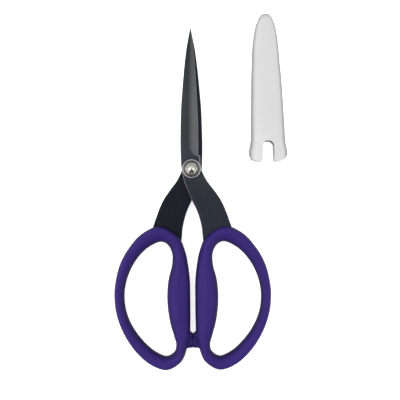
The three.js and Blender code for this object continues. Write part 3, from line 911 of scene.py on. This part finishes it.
def mouth_outline():
    """The plan shape cut from the mouth: it makes the notch for the pivot and rounds the feet's corners."""
    bottom = COVER_MOUTH_Y
    far = 16
    corners = [
        (0, NOTCH_TOP_Y), (NOTCH_HALF_WIDTH - NOTCH_ROUND, NOTCH_TOP_Y),
        (NOTCH_HALF_WIDTH, NOTCH_TOP_Y - NOTCH_ROUND), (NOTCH_HALF_WIDTH + 0.1, bottom + 0.6),
        (NOTCH_HALF_WIDTH + 0.7, bottom), (7.2, bottom), (9.2, bottom + 1.2), (10.5, bottom + 3.3),
        (far, bottom + 9),
    ]
    right = [tuple(p) for p in rounded(corners, 0.9)[1:]] + [(far, bottom - 9)]
    left = [(-x, y) for x, y in right[::-1]]
    return [(COVER_X + x, y) for x, y in right + left]


def build_cover():
    """The hollow cover, open at the mouth, with painted light that makes the cut faces in its notch paler."""
    cover = cover_skin("blade_cover_shell", 0, 0)
    cut(cover, cover_skin("cavity", COVER_WALL, CAVITY_OVERRUN), sharp=50)
    cut(cover, prism("mouth", mouth_outline(), low=-4, high=16), sharp=50)
    cover.data.materials.append(LIT_NOTCH_PLASTIC)
    # The notch's cut faces get the paler plastic: painted light.
    for polygon in cover.data.polygons:
        x, y, _ = polygon.center / MM
        in_notch = abs(x - COVER_X) < NOTCH_HALF_WIDTH + 0.2 and y < NOTCH_TOP_Y + 0.1
        if in_notch and abs(polygon.normal.z) < 0.3:
            polygon.material_index = len(cover.data.materials) - 1
    stand_in(cover, "blade_cover", "loose_cover")


# ---- Putting the pieces on the frame ---------------------------------------------------------------------

def stand_in(obj, node, body):
    """obj is shown in place of a CAD node, rides on its body and keeps inside the box of the whole CAD."""
    for vertex in obj.data.vertices:
        vertex.co = [min(max(c, low), high) for c, low, high in zip(vertex.co, *cad_box)]
    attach(obj, body)
    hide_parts(node)


def dress(node, material):
    """A CAD node that stays gets its material."""
    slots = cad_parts[node].data.materials
    slots.clear()
    slots.append(material)


# ---- Floor, light and camera -----------------------------------------------------------------------------

PHOTO_WIDTH = 224.0                     # millimetres across the square picture, at the shear plane
PHOTO_CENTRE = (4.52, -17.4)
CAMERA_DISTANCE = 340.0
ROLL = math.radians(-0.5)
SENSOR_WIDTH = 36
FLOOR_Z = -0.05
FLOOR_HALF_WIDTH = 6000
LIGHT_AIM = Vector((0, -0.02, 0))       # places and sizes of lights are in metres
SOFTBOX_SIZE = (0.7, 1.1)
PANEL_SIZE = (0.3, 0.3)


def build_floor():
    """The wide pale sheet the object lies on."""
    half = FLOOR_HALF_WIDTH
    corners = [(x, y, FLOOR_Z) for x, y in ((-half, -half), (half, -half), (half, half), (-half, half))]
    floor = piece("floor", corners, [(0, 1, 2, 3)], [paper("pale_floor")])


def area_light(name, size, watts, place):
    """A soft rectangular light, itself hidden from the camera."""
    light = bpy.data.lights.new(name, "AREA")
    light.shape = "RECTANGLE"
    light.size, light.size_y = size
    light.energy = watts
    obj = bpy.data.objects.new(name, light)
    bpy.context.scene.collection.objects.link(obj)
    obj.location = place
    obj.rotation_euler = (LIGHT_AIM - Vector(place)).to_track_quat("-Z", "Y").to_euler()
    obj.visible_camera = False


def build_sky():
    """A studio with pale walls, a dim ceiling, a dark figure in front and a glow high up behind."""
    world = bpy.data.worlds.new("studio")
    bpy.context.scene.world = world
    n = Nodes(world)
    split = n.add("ShaderNodeSeparateXYZ")
    n.link(n.add("ShaderNodeTexCoord").outputs["Generated"], split.inputs[0])
    folded = n.add("ShaderNodeCombineXYZ")
    n.link(n.size_of(split.outputs["X"]), folded.inputs["X"])
    n.link(split.outputs["Y"], folded.inputs["Y"])
    n.link(split.outputs["Z"], folded.inputs["Z"])

    def toward(azimuth, elevation):
        """How nearly a direction is the given one, right or left of the object: 1 where it is."""
        dot = n.add("ShaderNodeVectorMath", operation="DOT_PRODUCT")
        turn, rise = math.radians(azimuth), math.radians(elevation)
        dot.inputs[1].default_value = (
            math.cos(rise) * math.sin(turn), -math.cos(rise) * math.cos(turn), math.sin(rise),
        )
        n.link(folded.outputs[0], dot.inputs[0])
        return dot.outputs["Value"]

    heights = [(0.0, grey(1.4)), (0.22, grey(0.62)), (0.85, grey(0.26)), (1.0, grey(0.4))]
    walls = n.shades(split.outputs["Z"], heights)
    figure = n.shades(toward(0, 42), [(0.8, grey(1.0)), (0.9, grey(0.02))])
    front_to_back = n.span(split.outputs["Y"], 0, 1, start=-1, end=1)
    deeper = n.shades(front_to_back, [(0.2, grey(0.7)), (0.8, grey(1.5))])
    glow = n.add("ShaderNodeMix", data_type="RGBA", blend_type="ADD")
    glow.inputs["Factor"].default_value = 1.0
    n.link(n.times(n.times(walls, figure), deeper), glow.inputs["A"])
    n.link(n.span(toward(180, 48), 0, 0.5, start=0.84, end=0.97), glow.inputs["B"])
    n.link(glow.outputs["Result"], n.tree.nodes["Background"].inputs["Color"])


def build_light():
    """The sky, two large softboxes overhead and two low panels in front."""
    build_sky()
    area_light("softbox_left", SOFTBOX_SIZE, 8.2, (-0.68, -0.12, 0.78))
    area_light("softbox_right", SOFTBOX_SIZE, 4.0, (0.68, -0.12, 0.78))
    area_light("low_panel_left", PANEL_SIZE, 0.5, (-0.5, -0.32, 0.2))
    area_light("low_panel_right", PANEL_SIZE, 0.5, (0.5, -0.32, 0.2))
    view = bpy.context.scene.view_settings
    view.view_transform = "Standard"
    view.look = "None"


def build_camera():
    """Straight above, as in the photograph."""
    camera = bpy.data.cameras.new("camera")
    obj = bpy.data.objects.new("camera", camera)
    bpy.context.scene.collection.objects.link(obj)
    camera.sensor_width = SENSOR_WIDTH
    camera.lens = camera.sensor_width * CAMERA_DISTANCE / PHOTO_WIDTH
    camera.clip_start, camera.clip_end = 0.02, 20
    obj.location = (PHOTO_CENTRE[0] * MM, PHOTO_CENTRE[1] * MM, (MID_Z + CAMERA_DISTANCE) * MM)
    obj.rotation_euler = (0, 0, ROLL)
    bpy.context.scene.camera = obj


# ---- The object ------------------------------------------------------------------------------------------

build_camera()
build_light()
build_floor()

STEEL = coated_steel("coated_steel_satin", (0.023, 0.026, 0.032), (0.029, 0.032, 0.038), 0.31)
# The ground face's level parts are darkened, as painted shade.
GROUND_STEEL = coated_steel(
    "ground_steel", (0.1, 0.101, 0.106), (0.115, 0.116, 0.121), 0.5, gloss=0.1, metallic=0, level=0.38,
)
# Paler steel of the honed edge, also used as a painted highlight on the spine bevel beside the pivot.
HONED_AND_HIGHLIGHT_STEEL = coated_steel("honed_edge_and_painted_highlight", (0.16, 0.16, 0.165), (0.2, 0.2, 0.205), 0.45, gloss=0.1, metallic=0)
# Painted shade: the shear face darker than the coated steel.
SHADED_SHEAR_STEEL = coated_steel(
    "shear_face_painted_shade", (0.006, 0.0065, 0.012), (0.009, 0.0095, 0.016), 0.3, gloss=0.16, metallic=0,
)
BRIGHT = bright_steel("plated_steel", (0.42, 0.42, 0.38), 0.13, 30)
# Paler plated steel for the cap, a painted highlight.
CAP_HIGHLIGHT_STEEL = bright_steel("cap_steel_painted_highlight", (0.66, 0.66, 0.57), 0.16, 30)
# A darker copy of the plated steel: painted shade for the washer's floor and the nut's top.
SHADED_PLATED_STEEL = bright_steel("plated_steel_painted_shade", (0.17, 0.17, 0.16), 0.22, 900, 0.12)
BRIGHT_TURNED = bright_steel("plated_steel_turned", (0.5, 0.49, 0.54), 0.3, 900, 0.12)
PURPLE = soft_purple("soft_purple_grip", (0.024, 0.0115, 0.125), (0.029, 0.0135, 0.143))
# The stop pads: the grip's purple, darker as painted shade for their place between the handles.
SHADED_PAD_PURPLE = soft_purple(
    "soft_purple_pad_painted_shade", (0.014, 0.008, 0.085), (0.016, 0.009, 0.095), rough=0.5, shaded_middle=False,
)
COVER = cover_plastic("milky_plastic")
# The milky plastic without the painted shade of upright faces: painted light for the notch's cut faces.
LIT_NOTCH_PLASTIC = cover_plastic("milky_plastic_painted_light", upright=0.95)
CORE = hidden_plastic("core_plastic", (0.03, 0.012, 0.1), 0.45)
SLIP = hidden_plastic("slip_washer_plastic", (0.02, 0.02, 0.022), 0.5)

build_blade("front_blade_steel", "front_blade", "front_half", False)
build_blade("rear_blade_steel", "rear_blade", "rear_half", True)
build_grip("right_grip_skin", "right_handle_grip", "front_half", False)
build_grip("left_grip_skin", "left_handle_grip", "rear_half", True)
build_stop_pad("right_stop_rubber", "right_stop_pad", "front_half", False)
build_stop_pad("left_stop_rubber", "left_stop_pad", "rear_half", True)
build_screw()
build_rear_washer()
build_front_washer()
build_lock_washer()
build_nut()
build_cover()
dress("right_handle_core", CORE)
dress("left_handle_core", CORE)
dress("blade_washer", SLIP)
